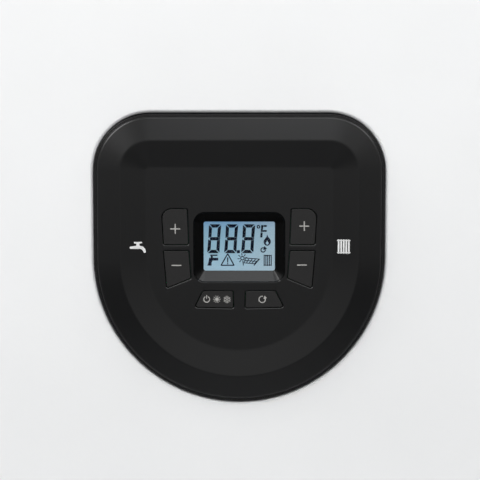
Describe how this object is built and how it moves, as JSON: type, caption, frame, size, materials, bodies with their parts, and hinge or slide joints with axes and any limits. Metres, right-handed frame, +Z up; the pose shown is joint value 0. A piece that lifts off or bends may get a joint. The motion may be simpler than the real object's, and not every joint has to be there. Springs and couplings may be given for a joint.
{
  "type": "wall-mounted gas boiler",
  "caption": "Wall-hung condensing combi boiler: white lift-off cover, black shield-shaped control panel with display and keys, concentric flue collar, pipe tails below.",
  "frame": {"origin": "centre of the wall bracket's back face, on the wall", "axes": "+X to the right seen from the front, +Y back into the wall, +Z up; the front faces -Y"},
  "size_m": [0.4, 0.3068, 0.7723],
  "materials": {
    "white_enamel": "satin white enamel",
    "zinc_plate": "zinc-plated sheet steel",
    "seal_foam": "closed-cell foam",
    "panel_black": "fine-grained satin black moulding",
    "key_black": "satin black keycap",
    "window_clear": "clear plate",
    "display_blue": "backlit display",
    "board_green": "circuit board",
    "grey_plastic": "grey moulding",
    "dark_plastic": "dark glass-filled moulding",
    "pale_plastic": "natural moulding",
    "aluminium": "drawn tube",
    "cast_aluminium": "sand-textured casting",
    "stainless_steel": "stainless steel",
    "copper": "drawn copper tube",
    "brass": "machined brass",
    "red_enamel": "red enamel",
    "motor_grey": "dark grey paint",
    "ceramic": "glazed ceramic"
  },
  "bodies": {
    "casing": {"wall_bracket": "zinc_plate", "back_frame": "zinc_plate", "side_panel_left": "white_enamel", "side_panel_right": "white_enamel", "top_panel": "white_enamel", "bottom_panel": "white_enamel", "cover_seal": "seal_foam", "control_fascia": "panel_black", "lcd_window": "window_clear", "lcd_module": "display_blue", "circuit_board": "board_green", "control_box": "grey_plastic", "flue_collar": "white_enamel", "flue_pipe": "aluminium", "exchanger_shell": "dark_plastic", "exchanger_coil": "stainless_steel", "burner_door": "cast_aluminium", "burner_tube": "stainless_steel", "ignition_electrode": "ceramic", "fan_housing": "cast_aluminium", "fan_motor": "dark_plastic", "mixer": "cast_aluminium", "air_intake": "dark_plastic", "gas_valve": "cast_aluminium", "gas_pipe": "stainless_steel", "pump_housing": "dark_plastic", "pump_motor": "motor_grey", "plate_exchanger": "stainless_steel", "expansion_vessel": "red_enamel", "flow_pipe": "copper", "return_pipe": "copper", "vessel_pipe": "copper", "air_vent": "brass", "diverter_actuator": "grey_plastic", "safety_valve": "brass", "filling_valve": "brass", "condensate_trap": "grey_plastic", "pressure_gauge": "dark_plastic", "cable_gland": "dark_plastic", "heating_flow_tail": "brass", "hot_water_tail": "brass", "gas_tail": "brass", "cold_water_tail": "brass", "heating_return_tail": "brass", "flow_manifold": "dark_plastic", "return_manifold": "dark_plastic"},
    "cover": {"front_cover": "white_enamel", "cover_screw_left": "zinc_plate", "cover_screw_right": "zinc_plate"},
    "water_plus": {"key_water_plus": "key_black"},
    "water_minus": {"key_water_minus": "key_black"},
    "heating_plus": {"key_heating_plus": "key_black"},
    "heating_minus": {"key_heating_minus": "key_black"},
    "mode": {"key_mode": "key_black"},
    "reset": {"key_reset": "key_black"},
    "fan_wheel": {"fan_impeller": "pale_plastic"},
    "pump_wheel": {"pump_impeller": "pale_plastic"},
    "relief_knob": {"safety_valve_knob": "red_enamel"},
    "filling_tap": {"filling_knob": "dark_plastic"},
    "needle": {"gauge_needle": "red_enamel"}
  },
  "joints": [
    {"name": "cover_slide", "type": "slide", "parent": "casing", "child": "cover", "axis": [0, -1, 0], "range_m": [0, 0.35]},
    {"name": "water_plus_press", "type": "slide", "parent": "casing", "child": "water_plus", "axis": [0, 1, 0], "range_m": [0, 0.001], "stiffness_N_per_m": 250},
    {"name": "water_minus_press", "type": "slide", "parent": "casing", "child": "water_minus", "axis": [0, 1, 0], "range_m": [0, 0.001], "stiffness_N_per_m": 250},
    {"name": "heating_plus_press", "type": "slide", "parent": "casing", "child": "heating_plus", "axis": [0, 1, 0], "range_m": [0, 0.001], "stiffness_N_per_m": 250},
    {"name": "heating_minus_press", "type": "slide", "parent": "casing", "child": "heating_minus", "axis": [0, 1, 0], "range_m": [0, 0.001], "stiffness_N_per_m": 250},
    {"name": "mode_press", "type": "slide", "parent": "casing", "child": "mode", "axis": [0, 1, 0], "range_m": [0, 0.001], "stiffness_N_per_m": 250},
    {"name": "reset_press", "type": "slide", "parent": "casing", "child": "reset", "axis": [0, 1, 0], "range_m": [0, 0.001], "stiffness_N_per_m": 250},
    {"name": "fan_spin", "type": "hinge", "parent": "casing", "child": "fan_wheel", "pos_m": [0.132, -0.239, -0.177], "axis": [0, -1, 0], "continuous": true},
    {"name": "pump_spin", "type": "hinge", "parent": "casing", "child": "pump_wheel", "pos_m": [0.116, -0.088, -0.45], "axis": [0, -1, 0], "continuous": true},
    {"name": "relief_turn", "type": "hinge", "parent": "casing", "child": "relief_knob", "pos_m": [0.125, -0.1703, -0.555], "axis": [0, -1, 0], "range_deg": [0, 90]},
    {"name": "filling_turn", "type": "hinge", "parent": "casing", "child": "filling_tap", "pos_m": [0.093, -0.11, -0.652], "axis": [0, 0, -1], "range_deg": [0, 270]},
    {"name": "needle_turn", "type": "hinge", "parent": "casing", "child": "needle", "pos_m": [-0.031, -0.215, -0.64], "axis": [0, 0, -1], "range_deg": [-80, 190]}
  ]
}
